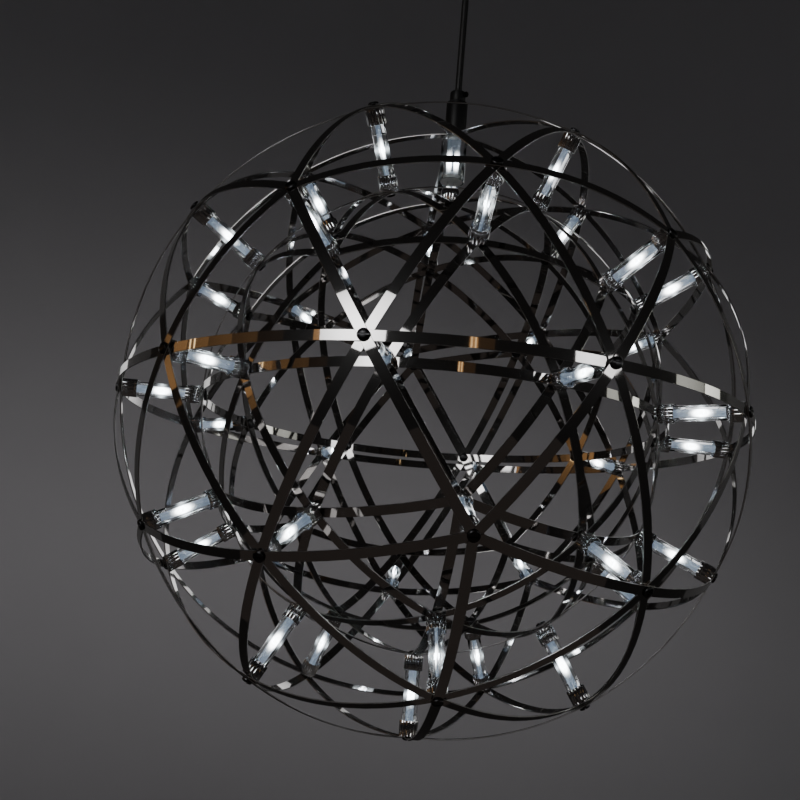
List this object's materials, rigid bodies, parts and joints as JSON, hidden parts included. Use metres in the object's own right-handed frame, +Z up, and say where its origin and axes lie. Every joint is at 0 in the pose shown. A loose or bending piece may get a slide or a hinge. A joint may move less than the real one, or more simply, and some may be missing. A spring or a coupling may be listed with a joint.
{
  "type": "led pendant light",
  "caption": "Open double ball of polished steel strip with clear LED tube lamps standing between the two balls, hung from a ceiling canopy on a black cord",
  "frame": {"origin": "middle of the cross bracket's upper face, which lies on the ceiling", "axes": "+Z up out of the ceiling face, X along the bracket; the picture looks along +Y from below"},
  "size_m": [0.4304, 0.4276, 0.6153],
  "materials": {
    "polished_steel": "mirror polished",
    "cap_chrome": "bright chrome, fluted",
    "plated_steel": "zinc plated",
    "crimp_steel": "plain",
    "dark_screw": "dark nickel",
    "brass_screw": "plain",
    "canopy_black": "satin black",
    "black_plastic": "satin",
    "black_rubber": "matt",
    "black_cord": "smooth sheath",
    "clear_glass": "clear",
    "board_white": "white solder mask",
    "led_white": "lit, cool white",
    "plug_white": "plain",
    "bush_white": "plain",
    "lead_insulation": "plain",
    "driver_white": "moulded",
    "terminal_white": "moulded",
    "foam_pad": "foam"
  },
  "bodies": {
    "ceiling": {"ceiling_bracket": "plated_steel", "canopy_studs": "plated_steel", "canopy_cap_nuts": "polished_steel", "earth_screw": "brass_screw", "canopy_cup": "canopy_black", "led_driver": "driver_white", "driver_pad": "foam_pad", "terminal_block": "terminal_white", "cord_gland": "black_plastic", "gland_nut": "plated_steel", "cord_tail": "black_cord", "output_leads": "lead_insulation", "mains_leads": "lead_insulation"},
    "boot": {"cord_boot": "black_rubber"},
    "cord": {"cord_drop": "black_cord", "cord_stop": "crimp_steel"},
    "globe": {"outer_hoop_1": "polished_steel", "outer_hoop_2": "polished_steel", "outer_hoop_3": "polished_steel", "outer_hoop_4": "polished_steel", "outer_hoop_5": "polished_steel", "outer_hoop_6": "polished_steel", "inner_hoop_1": "polished_steel", "inner_hoop_2": "polished_steel", "inner_hoop_3": "polished_steel", "inner_hoop_4": "polished_steel", "inner_hoop_5": "polished_steel", "inner_hoop_6": "polished_steel", "outer_crown_strips": "polished_steel", "outer_upper_strips": "polished_steel", "outer_waist_strips": "polished_steel", "outer_lower_strips": "polished_steel", "outer_base_strips": "polished_steel", "inner_crown_strips": "polished_steel", "inner_upper_strips": "polished_steel", "inner_waist_strips": "polished_steel", "inner_lower_strips": "polished_steel", "inner_base_strips": "polished_steel", "grip_body": "black_plastic", "grip_collar": "black_plastic", "grip_side_screw": "dark_screw", "grip_stem": "plated_steel", "stem_nut": "plated_steel", "stem_bush": "bush_white", "feed_tube": "clear_glass", "feed_plug": "plug_white", "feed_board": "board_white", "feed_led_chips": "led_white", "feed_pins": "plated_steel", "feed_wires": "lead_insulation", "lamp_tubes": "clear_glass", "lamp_boards": "board_white", "lamp_led_chips": "led_white", "outer_lamp_caps": "cap_chrome", "inner_lamp_caps": "cap_chrome", "outer_screws": "dark_screw", "inner_screws": "dark_screw"}
  },
  "joints": [
    {"name": "swing_front_back", "type": "hinge", "parent": "ceiling", "child": "boot", "pos_m": [0, 0, -0.036], "axis": [1, 0, 0], "range_deg": [-20, 20]},
    {"name": "swing_sideways", "type": "hinge", "parent": "boot", "child": "cord", "pos_m": [0, 0, -0.068], "axis": [0, 1, 0], "range_deg": [-20, 20]},
    {"name": "twist_on_cord", "type": "hinge", "parent": "cord", "child": "globe", "pos_m": [0, 0, -0.17], "axis": [0, 0, 1], "range_deg": [-180, 180]}
  ]
}
